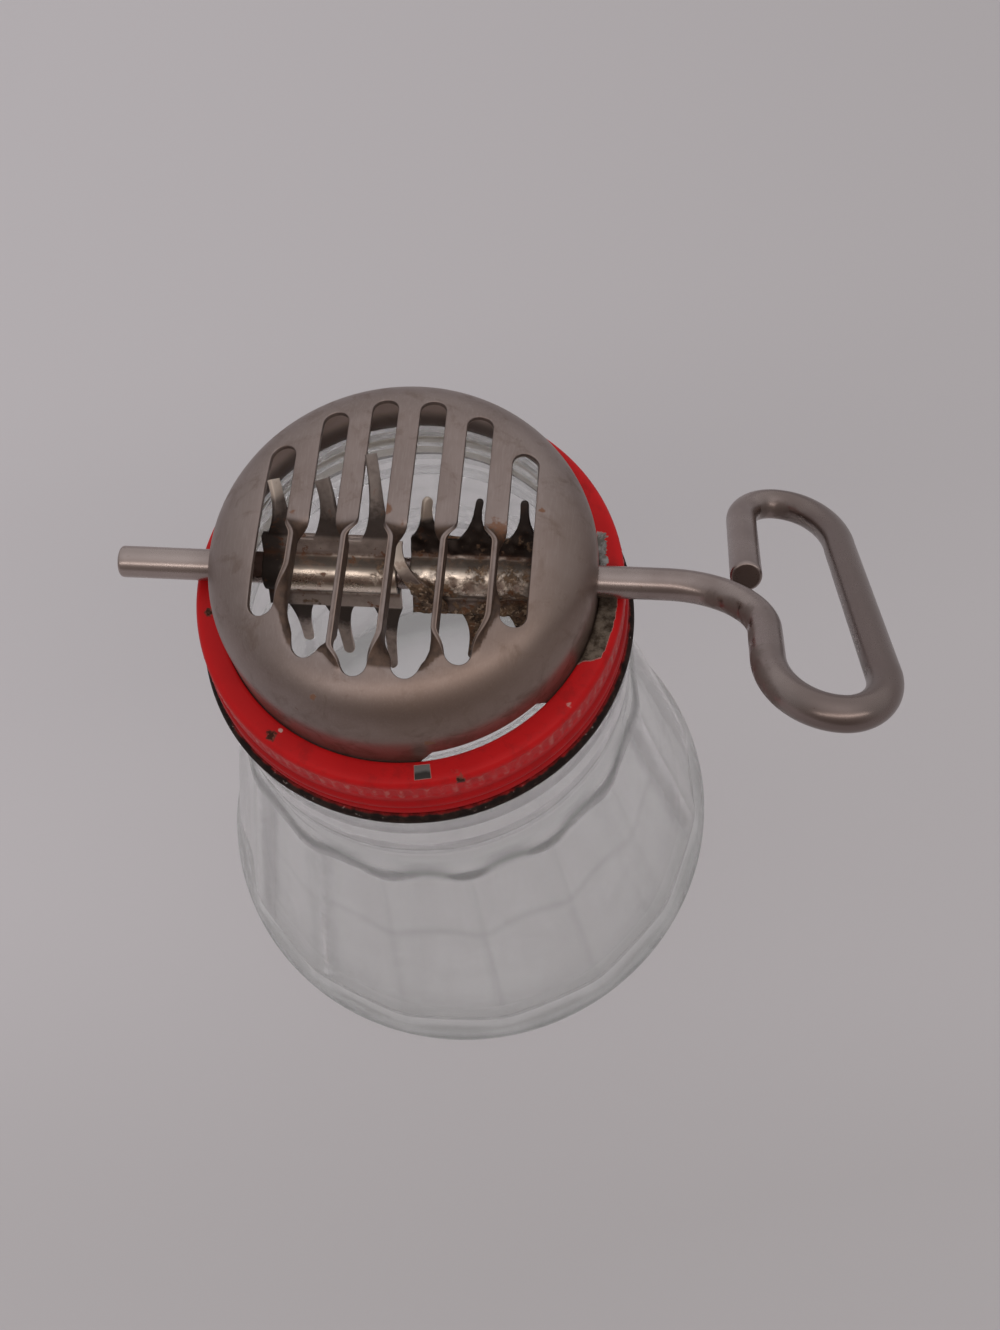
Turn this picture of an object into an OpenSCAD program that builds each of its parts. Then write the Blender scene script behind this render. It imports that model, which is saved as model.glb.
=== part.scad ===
/* [Glass jar] */
// Height of the glass from its foot to its rim
jar_h = 108.5; // [98:0.5:125]
// Diameter of the round foot
foot_d = 99.8; // [96:0.2:108]
// Height of the plain foot below the panels
foot_h = 6; // [4:0.5:9]
// Radius of the lower edge of the foot
heel_r = 3; // [1:0.5:3.5]
// Number of flat panels around the body
panel_count = 15; // [12:1:18]
// Turn of the panels around the jar, in degrees
panel_turn = 8.4; // [0:0.1:24]
// Height of the points between the arched panel tops
panel_top_h = 69; // [62:0.5:76]
// Diameter of the smooth neck above the panels
neck_d = 66.8; // [65:0.2:70]
// How far the panel points stand out from the neck
point_step = 2; // [1.5:0.1:3]
// How far the foot stands out from the panel corners
foot_step = 0.4; // [0.2:0.1:1]
// Slope of the shoulder over the panels, in degrees from upright
shoulder_slope = 49; // [40:1:60]
// Diameter of the glass between its thread ridges
finish_d = 60.8; // [60:0.2:62]
// Height of the threaded part of the glass
finish_h = 14.3; // [13:0.1:18]
// Diameter of the mouth
mouth_d = 54; // [50:0.5:55]
// Thickness of the glass wall
glass_wall = 3.2; // [2.4:0.1:4]
// Thickness of the glass floor
glass_floor = 6; // [4:0.5:9]
// Radius of the inner corner at the floor
floor_r = 4; // [2:0.5:6]

/* [Thread] */
// Rise of the thread in one turn
thread_lead = 4.2; // [3.8:0.1:4.6]
// Height of a thread ridge
thread_depth = 1; // [0.7:0.05:1.2]
// Width of a thread ridge at its foot
thread_w = 1.7; // [1.2:0.1:1.9]
// Width of a thread ridge at its crest
crest_w = 0.6; // [0.4:0.1:0.8]
// Gap between the glass and the lid across the thread
thread_gap = 0.4; // [0.3:0.05:0.6]
// Height of the start of the glass thread below the rim
thread_drop = 8; // [7:0.1:9]
// Turns of thread on the glass
jar_turns = 1.25; // [1:0.05:1.3]
// Number of rolled stretches of thread in one turn of the lid
lug_count = 8; // [4:1:10]
// Share of a turn of the lid that its rolled stretches fill
lug_share = 0.5; // [0.3:0.05:0.7]

/* [Screw lid] */
// Thickness of the lid sheet
lid_sheet = 0.6; // [0.4:0.05:0.8]
// Height of the lid
lid_h = 13.1; // [12.6:0.1:14]
// Radius of the lid's upper edge
lid_edge_r = 1.2; // [0.9:0.1:2]
// Radius of a rolled bead round the skirt
bead_r = 1.2; // [0.9:0.05:1.4]
// How far the beads stand out
bead_out = 0.55; // [0.3:0.05:0.8]
// Distance of the upper bead below the lid top
bead_drop = 7.6; // [6.5:0.1:8.2]
// Distance between the two beads
bead_pitch = 2.3; // [2:0.1:2.4]
// Radius of the rolled lower rim
rim_r = 1.1; // [0.9:0.05:1.2]
// How far the rolled rim's centre stands out from the skirt
rim_out = 0.4; // [0.2:0.05:0.6]
// Gap between the lid's hole and the dome
hole_gap = 0.4; // [0.3:0.05:1]

/* [Slotted dome] */
// Diameter of the dome
dome_d = 57; // [55.6:0.1:57.4]
// Thickness of the dome sheet
dome_sheet = 0.8; // [0.6:0.05:1]
// Height of the dome above the lid
dome_rise = 15.7; // [15:0.1:19]
// Radius of the dome's upper edge
dome_edge_r = 9.4; // [6:0.1:10]
// Gap between the flange and the inside of the lid
flange_gap = 0.6; // [0.4:0.05:1]
// Gap between the flange and the lid above it
seat_gap = 0.1; // [0.05:0.01:0.2]
// Height of the notch in the dome's wall above the lid
notch_rise = 2.2; // [1:0.1:3]
// Width of the notch at its top
notch_top_w = 16.2; // [10:0.1:18]
// Width of the notch at its foot
notch_foot_w = 21.8; // [18:0.1:26]
// Direction of the notch around the dome, in degrees
notch_turn = -60; // [-80:1:-40]
// Number of slots
slot_count = 6; // [4:1:6]
// Distance between slots
slot_pitch = 7.05; // [6.6:0.05:7.2]
// Width of a slot
slot_w = 3.8; // [3.4:0.1:4]
// Radius of the circle that the slot ends touch
slot_reach = 22.3; // [21.5:0.1:23]
// Distance from the middle to the start of the twisted part of each bar
twist_start = 2.4; // [0:0.1:3]
// Length over which a bar turns on edge near the middle
twist_len = 4; // [3:0.1:5]
// Length over which a bar turns flat again at its near root
root_twist_len = 5.2; // [3:0.1:6]

/* [Crank] */
// Thickness of the crank wire
wire_d = 4.75; // [4.2:0.05:5.2]
// Running gap of the shaft in the dome's holes
shaft_fit = 0.08; // [0.03:0.01:0.1]
// Gap between the wire and the lid
wire_lift = 0.4; // [0.3:0.05:1]
// Distance of the free end from the dome's middle
stub_reach = 43.3; // [38:0.1:50]
// Distance of the start of the bend from the dome's middle
bend_start = 38.4; // [37:0.1:44]
// Radius of the bend from the shaft into the loop
bend_r = 13.5; // [11:0.1:15]
// Width of the loop between wire centres
loop_w = 14.7; // [13:0.1:18]
// Reach of the loop's near end from the shaft
loop_near = 35.2; // [31:0.1:38]
// Reach of the loop's far end from the shaft
loop_far = 32.3; // [28:0.1:36]
// How far the cut tip stands inside the loop's line
tip_shift = 1.9; // [0:0.1:2.5]
// Gap between the cut tip and the shaft
tip_gap = 1.7; // [0.8:0.1:4]
// Turn of the crank about its shaft, in degrees
crank_turn = 142; // [0:1:359]

/* [Blades] */
// Thickness of the blade sheet
blade_sheet = 0.8; // [0.5:0.05:1]
// Gap between a blade and the shaft it grips
grip_gap = 0.03; // [0.02:0.01:0.05]
// Gap between the two halves of a pair
seam_gap = 0.04; // [0.02:0.01:0.1]
// Reach of the flat wing from the shaft axis
wing_reach = 6; // [5:0.1:7]
// Distance of a blade's inner end from the dome's middle
blade_inner = 1; // [0.6:0.1:1.4]
// Distance of a blade's outer end from the dome's middle
blade_outer = 21; // [20:0.1:22.5]
// Width of a tine at its root
tine_root_w = 5.2; // [4:0.1:5.8]
// Width of a tine at its tip
tine_tip_w = 1.5; // [0.8:0.1:1.8]
// Reach of the left pair's tines from the shaft axis
left_reach = 15.2; // [13:0.1:16]
// Reach of the right upper tines from the shaft axis
right_upper_reach = 12.4; // [11:0.1:16]
// Reach of the right lower tines from the shaft axis
right_lower_reach = 14.4; // [13:0.1:16]
// Turn of the left pair about the shaft, in degrees
left_turn = 62; // [0:1:90]
// Turn of the right pair about the shaft, in degrees
right_turn = 52; // [0:1:90]

/* [Hidden] */
$fn = 96;

// Room that a cutting shape takes past the face it cuts
over = 1;
// Segments of a rounded corner, rings in a turn of thread and points along a tine's side
arc_steps = 12;
thread_steps = 32;
tine_steps = 8;

// Glass
foot_r = foot_d / 2;
neck_r = neck_d / 2;
finish_r = finish_d / 2;
mouth_r = mouth_d / 2;
finish_z = jar_h - finish_h;
// Corner and flat distances of the panels at their points and at the foot
point_r = neck_r + point_step;
corner_foot_r = foot_r - foot_step;
flat_share = cos(180 / panel_count);
panel_run = panel_top_h - foot_h;
panel_spread = (corner_foot_r - point_r) * flat_share;
panel_lean = atan(panel_spread / panel_run);
// The shoulder widens downwards from the neck until it is wider than the foot
shoulder_run = 1 / tan(shoulder_slope);
shoulder_top_z = panel_top_h + point_step * shoulder_run;
shoulder_foot_z = panel_top_h - (foot_r - point_r) * shoulder_run;
// A panel's cut ends over its arch, half way between the panel and the neck
cut_above = (point_r * flat_share - neck_r) / 2 / tan(panel_lean);
inner_neck_r = neck_r - glass_wall;
inner_foot_r = corner_foot_r * flat_share - glass_wall;
inner_lean = (inner_foot_r - inner_neck_r) / (panel_top_h - glass_floor);
finish_round = neck_r - finish_r;
inner_step = inner_neck_r - mouth_r;

// Lid
lid_in_r = finish_r + thread_depth + thread_gap;
lid_out_r = lid_in_r + lid_sheet;
lid_top_z = jar_h + dome_sheet + seat_gap + lid_sheet;
hole_r = dome_d / 2 + hole_gap;
// The lid's ridge rides under the glass ridge, a thread gap apart at the flanks
ridge_step = (thread_w + crest_w) / 2 + thread_gap;

// Dome
dome_r = dome_d / 2;
dome_top_z = lid_top_z + dome_rise;
flange_r = lid_in_r - flange_gap;
bar_w = slot_pitch - slot_w;
// A bar is drawn a hair inside the sheet that it grows out of
bar_inset = 0.03;
// A bar's near root lies just short of the end of the shorter slot beside it
root_set = 0.5;
root_bite = 0.6;

// Crank
wire_r = wire_d / 2;
shaft_z = lid_top_z + wire_lift + wire_r;
leg_x = bend_start + bend_r;
tip_x = leg_x - tip_shift;
outer_x = leg_x + loop_w;
near_r = loop_w / 2;
far_r = (outer_x - tip_x) / 2;

// Blades
grip_r = wire_r + grip_gap;
channel_r = grip_r + blade_sheet;

function arc(cx, cy, r, from, to) =
    [for (i = [0 : arc_steps]) let (a = from + (to - from) * i / arc_steps) [cx + r * cos(a), cy + r * sin(a)]];

function slot_x(i) = (i - (slot_count - 1) / 2) * slot_pitch;

function slot_end(x) = sqrt(slot_reach * slot_reach - x * x);

function smooth(t) = let (c = min(1, max(0, t))) c * c * (3 - 2 * c);

// Side faces of a tube whose rings have four points each, and its two end caps
function ring_faces(rings) = concat(
    [[0, 1, 2], [0, 2, 3]],
    [for (k = [0 : rings - 2], j = [0 : 3]) [4 * k + j, 4 * k + 4 + j, 4 * k + 4 + (j + 1) % 4]],
    [for (k = [0 : rings - 2], j = [0 : 3]) [4 * k + j, 4 * k + 4 + (j + 1) % 4, 4 * k + (j + 1) % 4]],
    [[4 * rings - 4, 4 * rings - 2, 4 * rings - 3], [4 * rings - 4, 4 * rings - 1, 4 * rings - 2]]
);

// The glass thread, a ridge that climbs from a height with its root inside the glass
module glass_thread(root_r, crest_r, start_z) {
    rings = ceil(jar_turns * thread_steps) + 1;
    section = [[root_r, -thread_w / 2], [crest_r, -crest_w / 2], [crest_r, crest_w / 2], [root_r, thread_w / 2]];
    points = [
        for (k = [0 : rings - 1], p = section)
            let (turn = jar_turns * k / (rings - 1))
            [p[0] * cos(360 * turn), p[0] * sin(360 * turn), start_z + p[1] + thread_lead * turn]
    ];
    polyhedron(points, ring_faces(rings), convexity = 10);
}

module glass_outline() {
    polygon(concat(
        [[0, 0]],
        arc(foot_r - heel_r, heel_r, heel_r, -90, 0),
        [[foot_r, shoulder_foot_z], [neck_r, shoulder_top_z]],
        arc(finish_r, finish_z - finish_round, finish_round, 0, 90),
        [[finish_r, jar_h], [0, jar_h]]
    ));
}

module glass_hollow() {
    polygon(concat(
        [[0, glass_floor]],
        arc(inner_foot_r - inner_lean * floor_r - floor_r, glass_floor + floor_r, floor_r, -90, 0),
        [[inner_neck_r, panel_top_h], [inner_neck_r, finish_z - finish_round]],
        [[mouth_r, finish_z - finish_round + inner_step], [mouth_r, jar_h + over], [0, jar_h + over]]
    ));
}

module panel_cutter() {
    cut_w = 2 * foot_r * tan(180 / panel_count) + 2 * over;
    cut_h = panel_run / cos(panel_lean) + cut_above / cos(panel_lean);
    translate([corner_foot_r * flat_share, 0, foot_h])
        rotate([0, -panel_lean, 0])
            translate([0, -cut_w / 2, 0])
                cube([foot_r, cut_w, cut_h]);
}

module glass_jar() {
    color("lightcyan", 0.4) {
        rotate([0, 0, panel_turn])
            difference() {
                rotate_extrude() glass_outline();
                rotate_extrude() glass_hollow();
                for (i = [0 : panel_count - 1]) rotate([0, 0, 360 * i / panel_count]) panel_cutter();
            }
        glass_thread(finish_r - thread_gap, finish_r + thread_depth, jar_h - thread_drop);
    }
}

module lid_outline() {
    edge_x = lid_out_r - lid_edge_r;
    edge_z = lid_top_z - lid_edge_r;
    bead_x = lid_out_r + bead_out - bead_r;
    bead_z = lid_top_z - bead_drop;
    bead_turn = acos((lid_out_r - bead_x) / bead_r);
    rim_x = lid_out_r + rim_out;
    rim_z = lid_top_z - lid_h + rim_r;
    polygon(concat(
        [[hole_r, lid_top_z], [hole_r, lid_top_z - lid_sheet]],
        arc(edge_x, edge_z, lid_edge_r - lid_sheet, 90, 0),
        arc(rim_x, rim_z, rim_r, -acos((lid_in_r - rim_x) / rim_r), acos((lid_out_r - rim_x) / rim_r)),
        arc(bead_x, bead_z - bead_pitch, bead_r, -bead_turn, bead_turn),
        arc(bead_x, bead_z, bead_r, -bead_turn, bead_turn),
        arc(edge_x, edge_z, lid_edge_r, 0, 90)
    ));
}

// One short stretch of the lid's rolled thread, level over its own length
module thread_lug(root_r, crest_r) {
    rotate_extrude(angle = lug_share * 360 / lug_count)
        polygon([[crest_r, -crest_w / 2], [root_r, -thread_w / 2], [root_r, thread_w / 2], [crest_r, crest_w / 2]]);
}

module screw_lid() {
    crest_r = finish_r + thread_gap;
    root_r = lid_in_r + lid_sheet / 2;
    lug_z = jar_h - thread_drop - ridge_step;
    color("crimson") {
        rotate_extrude() lid_outline();
        for (i = [0 : lug_count - 1])
            rotate([0, 0, 360 * i / lug_count])
                translate([0, 0, lug_z + thread_lead * (i + lug_share / 2) / lug_count])
                    thread_lug(root_r, crest_r);
    }
}

module dome_outline() {
    edge_x = dome_r - dome_edge_r;
    edge_z = dome_top_z - dome_edge_r;
    polygon(concat(
        [[0, dome_top_z - dome_sheet]],
        arc(edge_x, edge_z, dome_edge_r - dome_sheet, 90, 0),
        [[dome_r - dome_sheet, jar_h], [flange_r, jar_h], [flange_r, jar_h + dome_sheet]],
        [[dome_r, jar_h + dome_sheet]],
        arc(edge_x, edge_z, dome_edge_r, 0, 90),
        [[0, dome_top_z]]
    ));
}

// One slot, round at both ends, whose ends touch the slot circle
module slot_cut(x) {
    half = slot_end(x) - slot_w / 2;
    translate([x - slot_w / 2, -half]) square([slot_w, 2 * half]);
    translate([x, half]) circle(d = slot_w);
    translate([x, -half]) circle(d = slot_w);
}

// Distance of a bar's near root from the shaft
function root_y(x) = slot_end(abs(x) + slot_pitch / 2) - root_set;

// Room that a bar leaves in the sheet where it stands on edge
module bar_cut(x) {
    translate([x - slot_pitch / 2, -root_y(x)]) square([slot_pitch, root_y(x) + twist_start]);
}

// The notch in the wall, narrower at its top, drawn from the flange upwards
module notch_cut() {
    foot_z = jar_h + dome_sheet;
    top_z = lid_top_z + notch_rise;
    rotate([0, 0, notch_turn])
        translate([dome_r / 2, 0, 0])
            rotate([90, 0, 90])
                linear_extrude(dome_r / 2 + over)
                    polygon([
                        [-notch_foot_w / 2, foot_z], [notch_foot_w / 2, foot_z],
                        [notch_top_w / 2, top_z], [-notch_top_w / 2, top_z]
                    ]);
}

// A bar of the sheet, flat at its two ends and turned on edge between them
module twisted_bar(x, way) {
    start = twist_start + root_bite;
    end = -root_y(x) - root_bite;
    rings = 25;
    half_w = bar_w / 2 - bar_inset;
    half_t = dome_sheet / 2 - bar_inset;
    corners = [[-half_w, -half_t], [half_w, -half_t], [half_w, half_t], [-half_w, half_t]];
    points = [
        for (k = [0 : rings - 1], c = corners)
            let (y = start + (end - start) * k / (rings - 1))
            let (turn = smooth((twist_start - y) / twist_len) * smooth((y + root_y(x)) / root_twist_len))
            let (a = way * 90 * turn)
            [x + c[0] * cos(a) - c[1] * sin(a), y, dome_top_z - dome_sheet / 2 + c[0] * sin(a) + c[1] * cos(a)]
    ];
    polyhedron(points, ring_faces(rings), convexity = 6);
}

module slotted_dome() {
    color("rosybrown") {
        difference() {
            rotate_extrude() dome_outline();
            translate([0, 0, dome_top_z - dome_edge_r])
                linear_extrude(dome_edge_r + over) {
                    for (i = [0 : slot_count - 1]) slot_cut(slot_x(i));
                    for (i = [0 : slot_count - 2]) bar_cut(slot_x(i) + slot_pitch / 2);
                }
            notch_cut();
            translate([-dome_r - over, 0, shaft_z])
                rotate([0, 90, 0])
                    cylinder(r = wire_r + shaft_fit, h = 2 * dome_r + 2 * over);
        }
        for (i = [0 : slot_count - 2]) twisted_bar(slot_x(i) + slot_pitch / 2, i % 2 == 0 ? -1 : 1);
    }
}

// A quarter or half turn of the wire about a centre in the plane of the crank
module wire_bend(x, y, r, from, sweep) {
    translate([x, y, 0])
        rotate([0, 0, from])
            rotate_extrude(angle = sweep)
                translate([r, 0]) circle(r = wire_r);
}

// A straight length of the wire along the loop's own direction
module wire_leg(x, from, to) {
    translate([x, from, 0]) rotate([-90, 0, 0]) cylinder(r = wire_r, h = to - from);
}

module crank_wire() {
    near_y = loop_near - near_r;
    far_y = loop_far - far_r;
    color("dimgray")
        translate([0, 0, shaft_z])
            rotate([crank_turn, 0, 0]) {
                translate([-stub_reach, 0, 0])
                    rotate([0, 90, 0])
                        cylinder(r = wire_r, h = stub_reach + bend_start);
                wire_bend(bend_start, bend_r, bend_r, -90, 90);
                wire_leg(leg_x, bend_r, near_y);
                wire_bend(leg_x + near_r, near_y, near_r, 0, 180);
                wire_leg(outer_x, -far_y, near_y);
                wire_bend(outer_x - far_r, -far_y, far_r, 180, 180);
                wire_leg(tip_x, -far_y, -wire_r - tip_gap);
            }
}

// Half the width of a tine, wide and curved at its root and narrow along its point
function tine_half(t) = tine_tip_w / 2 + (tine_root_w - tine_tip_w) / 2 * pow(1 - t, 3);

module tine(x, reach) {
    root = wing_reach - blade_sheet / 2;
    run = reach - tine_tip_w / 2 - root;
    side = [for (i = [0 : tine_steps]) let (t = i / tine_steps) [tine_half(t), root + run * t]];
    other = [for (i = [tine_steps : -1 : 0]) [-side[i][0], side[i][1]]];
    translate([x, 0]) polygon(concat(side, other));
    translate([x, reach - tine_tip_w / 2]) circle(d = tine_tip_w, $fn = 24);
}

// One stamped blade: a half channel over the shaft, two flat wings, and tines along one wing
module blade(side, reach) {
    start = side < 0 ? -blade_outer : blade_inner;
    first = side < 0 ? 0 : slot_count / 2;
    translate([start, 0, 0])
        rotate([90, 0, 90])
            linear_extrude(blade_outer - blade_inner)
                difference() {
                    union() {
                        circle(r = channel_r);
                        translate([-wing_reach, 0]) square([2 * wing_reach, seam_gap / 2 + blade_sheet]);
                    }
                    circle(r = grip_r);
                    translate([-wing_reach - over, -channel_r - over])
                        square([2 * (wing_reach + over), channel_r + over + seam_gap / 2]);
                }
    translate([0, 0, seam_gap / 2])
        linear_extrude(blade_sheet)
            for (i = [first : first + slot_count / 2 - 1]) tine(slot_x(i), reach);
}

module placed_blade(turn, side, reach) {
    translate([0, 0, shaft_z]) rotate([turn, 0, 0]) blade(side, reach);
}

module left_upper_blade() {
    color("gray") placed_blade(left_turn, -1, left_reach);
}

module left_lower_blade() {
    color("darkgray") placed_blade(left_turn + 180, -1, left_reach);
}

module right_upper_blade() {
    color("gray") placed_blade(right_turn, 1, right_upper_reach);
}

module right_lower_blade() {
    color("saddlebrown") placed_blade(right_turn + 180, 1, right_lower_reach);
}

glass_jar();
screw_lid();
slotted_dome();
crank_wire();
left_upper_blade();
left_lower_blade();
right_upper_blade();
right_lower_blade();
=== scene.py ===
from types import SimpleNamespace

import bpy
import numpy as np
from mathutils import Matrix, geometry


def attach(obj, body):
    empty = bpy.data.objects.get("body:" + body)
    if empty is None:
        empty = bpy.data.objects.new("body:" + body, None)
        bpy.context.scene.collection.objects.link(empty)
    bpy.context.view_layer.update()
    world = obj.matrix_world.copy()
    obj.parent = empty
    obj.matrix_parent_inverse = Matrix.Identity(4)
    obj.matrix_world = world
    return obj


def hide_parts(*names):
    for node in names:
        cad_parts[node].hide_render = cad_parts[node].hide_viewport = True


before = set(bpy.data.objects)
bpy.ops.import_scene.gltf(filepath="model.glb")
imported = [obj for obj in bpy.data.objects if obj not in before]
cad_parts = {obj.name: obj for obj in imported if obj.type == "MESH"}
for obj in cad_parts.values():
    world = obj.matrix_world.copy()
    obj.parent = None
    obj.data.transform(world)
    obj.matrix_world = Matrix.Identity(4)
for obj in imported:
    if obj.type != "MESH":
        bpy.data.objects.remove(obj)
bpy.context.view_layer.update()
mm = 0.001
fullTurn = 2.0 * np.pi
join = np.concatenate
print("stage: frame loaded with", len(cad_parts), "solids")


# one output in a material's node tree: sums and products of wires add Math nodes
class Wire:
    def __init__(self, paint, socket):
        self.paint = paint
        self.socket = socket

    def calc(self, operation, first, second):
        return self.paint.node("Math", {"operation": operation}, {0: first, 1: second})

    def __add__(self, other):
        return self.calc("ADD", self, other)

    def __radd__(self, other):
        return self.calc("ADD", other, self)

    def __sub__(self, other):
        return self.calc("SUBTRACT", self, other)

    def __rsub__(self, other):
        return self.calc("SUBTRACT", other, self)

    def __mul__(self, other):
        return self.calc("MULTIPLY", self, other)

    def __rmul__(self, other):
        return self.calc("MULTIPLY", other, self)

    def __pow__(self, other):
        return self.calc("POWER", self, other)

    def __rpow__(self, other):
        return self.calc("POWER", other, self)


# the nodes of one tree
class Board:
    def __init__(self, tree):
        self.tree = tree

    def node(self, kind, settings, inputs, output=0):
        made = self.tree.nodes.new("ShaderNode" + kind)
        for name, value in settings.items():
            setattr(made, name, value)
        sockets = {s.identifier: s for s in made.inputs}
        for name, value in inputs.items():
            target = sockets[name] if name in sockets else made.inputs[name]
            if isinstance(value, Wire):
                self.tree.links.new(value.socket, target)
            else:
                target.default_value = value
        results = {s.identifier: s for s in made.outputs}
        return Wire(self, results[output] if output in results else made.outputs[output])

    def split(self, vector):
        made = self.node("SeparateXYZ", {}, {"Vector": vector}).socket.node
        return [Wire(self, out) for out in made.outputs]

    def step(self, value, low, high):
        # a smooth step from 0 at low to 1 at high
        inputs = {"Value": value, "From Min": low, "From Max": high}
        return self.node("MapRange", {"interpolation_type": "SMOOTHSTEP"}, inputs)

    def fall(self, value, low, high):
        # a smooth step from 1 at low to 0 at high
        return 1.0 - self.step(value, low, high)

    def mix(self, share, under, over):
        under, over = ((*c, 1.0) if isinstance(c, tuple) else c for c in (under, over))
        inputs = {"Factor_Float": share, "A_Color": under, "B_Color": over}
        return self.node("Mix", {"data_type": "RGBA"}, inputs, "Result_Color")

    def fade(self, value, low, high, under, over):
        # one colour where the value is low and another where it is high
        return self.mix(self.step(value, low, high), under, over)

    def larger(self, first, *others):
        for other in others:
            first = first.calc("MAXIMUM", first, other)
        return first


# a Principled material with its place in millimetres, on Object coordinates
class Paint(Board):
    def __init__(self, name, constants):
        self.material = bpy.data.materials.new(name)
        self.material.use_nodes = True
        super().__init__(self.material.node_tree)
        self.shader = self.tree.nodes["Principled BSDF"]
        for socket, value in constants.items():
            self.shader.inputs[socket].default_value = value
        metres = self.node("TexCoord", {}, {}, "Object")
        self.place = self.node("VectorMath", {"operation": "SCALE"}, {"Vector": metres, "Scale": 1.0 / mm})
        self.x, self.y, self.z = self.split(self.place)

    def tools(self):
        return self.noise, self.step, self.fall, self.mix, self.fade, self.larger

    def noise(self, size, detail=3.0, rough=0.55, place=None, warp=0.0):
        inputs = {"Vector": place or self.place, "Scale": 1.0 / size, "Detail": detail, "Roughness": rough}
        return self.node("TexNoise", {"noise_dimensions": "3D"}, {**inputs, "Distortion": warp}, "Fac")

    def attribute(self, name):
        return self.node("Attribute", {"attribute_name": name}, {}, "Fac")

    def spots(self, places, ragged, rag):
        # 1 inside balls with the given middles and sizes, with edges that a noise makes ragged
        found = []
        for *centre, size in places:
            far = self.node("VectorMath", {"operation": "DISTANCE"}, {0: self.place, 1: centre}, "Value")
            found.append(self.fall(far + (ragged - 0.5) * (4.0 * rag * size), 0.5 * size, 1.15 * size))
        return self.larger(*found)

    def use(self, colour, roughness=None, metallic=None, coat=None, height=None, depth=0.0):
        links = {"Base Color": colour, "Roughness": roughness, "Metallic": metallic, "Coat Weight": coat}
        if height is not None:
            inputs = {"Height": height, "Strength": 1.0, "Distance": depth * mm}
            links["Normal"] = self.node("Bump", {}, inputs)
        for name, wire in links.items():
            if wire is not None:
                self.tree.links.new(wire.socket, self.shader.inputs[name])
        return self.material


# a mesh object from points in millimetres, with its faces turned outwards by the sign of its volume
def addPiece(name, points, quads, tris, material, body, node, marks):
    quads = np.asarray(quads, int).reshape(-1, 4)
    tris = np.asarray(tris, int).reshape(-1, 3)
    allTris = join([quads[:, [0, 1, 2]], quads[:, [0, 2, 3]], tris])
    a, b, c = (points[allTris[:, k]] for k in range(3))
    if np.einsum("ij,ij->", a, np.cross(b, c)) < 0:
        quads, tris = quads[:, ::-1], tris[:, ::-1]
    mesh = bpy.data.meshes.new(name)
    mesh.from_pydata((points * mm).tolist(), [], quads.tolist() + tris.tolist())
    mesh.polygons.foreach_set("use_smooth", np.ones(len(mesh.polygons), bool))
    for mark, values in marks.items():
        mesh.attributes.new(mark, "FLOAT", "POINT").data.foreach_set("value", np.asarray(values, np.float32))
    mesh.materials.append(material)
    piece = bpy.data.objects.new(name, mesh)
    bpy.context.scene.collection.objects.link(piece)
    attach(piece, body)
    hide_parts(node)
    print("stage:", name, "with", len(allTris), "triangles")
    return piece


# quads between neighbouring rows and columns of an index table, joined round its columns
def ringQuads(table):
    after = np.roll(table, -1, axis=1)
    return np.stack([table[:-1], after[:-1], after[1:], table[1:]], -1).reshape(-1, 4)


# triangles that close the first and last row of an index table, each to a middle point after all others
def capFans(table):
    first, last = table[0], table[-1]
    return join([np.stack([np.full_like(first, table.size), np.roll(first, -1), first], 1),
                 np.stack([np.full_like(last, table.size + 1), last, np.roll(last, -1)], 1)])


def arcPoints(x, y, radius, start, end, count):
    a = np.radians(np.linspace(start, end, count))
    return np.stack([x + radius * np.cos(a), y + radius * np.sin(a)], 1)


# rows of a profile: two coordinates and the outward normal's two
def strip(across, up, normAcross, normUp):
    return np.stack(np.broadcast_arrays(across, up, normAcross, normUp), 1)


# equal steps of turn round the axis
def turns(count):
    return np.linspace(0.0, fullTurn, count, endpoint=False)


# points of a turned surface from tables of radius and height over turn
def spun(radius, height, turn):
    return np.stack([radius * np.cos(turn), radius * np.sin(turn), height], -1).reshape(-1, 3)


def unit(vectors):
    return vectors / np.linalg.norm(vectors, axis=-1, keepdims=True)


# points turned about the shaft's axis and raised to its height
def aboutShaft(x, y, z, turn, height):
    sin, cos = np.sin(np.radians(turn)), np.cos(np.radians(turn))
    return np.stack([x, y * cos - z * sin, y * sin + z * cos + height], 1)


def arcLength(run):
    return np.append(0.0, np.cumsum(np.hypot(*np.diff(run[:, :2], axis=0).T)))


def smooth(t):
    c = np.clip(t, 0.0, 1.0)
    return c * c * (3.0 - 2.0 * c)


def bell(off, width):
    return np.exp(-(off / width) ** 2)


# a soft minimum: the two surfaces meet in a rounded valley of the given width
def softLess(a, b, width):
    h = np.clip(0.5 + 0.5 * (b - a) / width, 0.0, 1.0)
    return b + (a - b) * h - width * h * (1.0 - h)


# a slow wobble over angle and height, the sum of a few waves, about 1 at most
def wobble(turn, height, seed, waves=5):
    draw = np.random.default_rng(seed)
    total = 0.0
    for k in range(waves):
        around, up = draw.integers(1, 9), draw.uniform(-0.25, 0.25)
        total = total + np.sin(around * turn + up * height + draw.uniform(0.0, 6.28))
    return total / waves


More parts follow.
